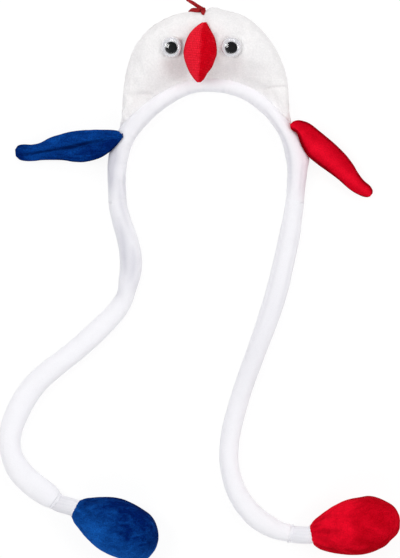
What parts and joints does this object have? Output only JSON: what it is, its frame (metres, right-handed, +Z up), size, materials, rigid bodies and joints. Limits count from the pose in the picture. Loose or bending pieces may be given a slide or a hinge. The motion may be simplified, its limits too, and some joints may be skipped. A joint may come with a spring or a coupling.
{
  "type": "rooster headband",
  "caption": "Plush rooster headband lying on its back: stuffed head with beak, comb and googly eyes on a padded arch, wings, and hose sleeves to squeeze bulbs that flap them.",
  "frame": {"origin": "on the surface it lies on, under the middle of the stuffed head, at the flat of its back", "axes": "+X to the right as the face is seen, along the wings; +Y towards the crown of the head; +Z up, out of the face"},
  "size_m": [0.401, 0.5598, 0.0687],
  "materials": {
    "white_plush": "short white pile",
    "blue_plush": "crushed velvet pile",
    "red_plush": "crushed velvet pile",
    "red_felt": "matte felt",
    "eye_white": "smooth",
    "eye_black": "smooth",
    "eye_clear": "clear and glossy"
  },
  "bodies": {
    "headband": {"head": "white_plush", "band": "white_plush", "beak": "red_plush", "comb": "red_felt", "eye_back_left": "eye_white", "eye_back_right": "eye_white", "eye_dome_left": "eye_clear", "eye_dome_right": "eye_clear", "wing_blue": "blue_plush", "wing_red": "red_plush", "hose_left": "white_plush", "hose_right": "white_plush", "cuff_left": "white_plush", "cuff_right": "white_plush", "bulb_blue": "blue_plush", "bulb_red": "red_plush"},
    "pupil_left": {"pupil_left": "eye_black"},
    "pupil_right": {"pupil_right": "eye_black"}
  },
  "joints": [
    {"name": "pupil_left_slide", "type": "slide", "parent": "headband", "child": "pupil_left", "axis": [0, 0.9969, 0.0785], "range_m": [-0.002, 0.0036]},
    {"name": "pupil_right_slide", "type": "slide", "parent": "headband", "child": "pupil_right", "axis": [0, 0.9945, 0.1045], "range_m": [-0.002, 0.0036]}
  ]
}
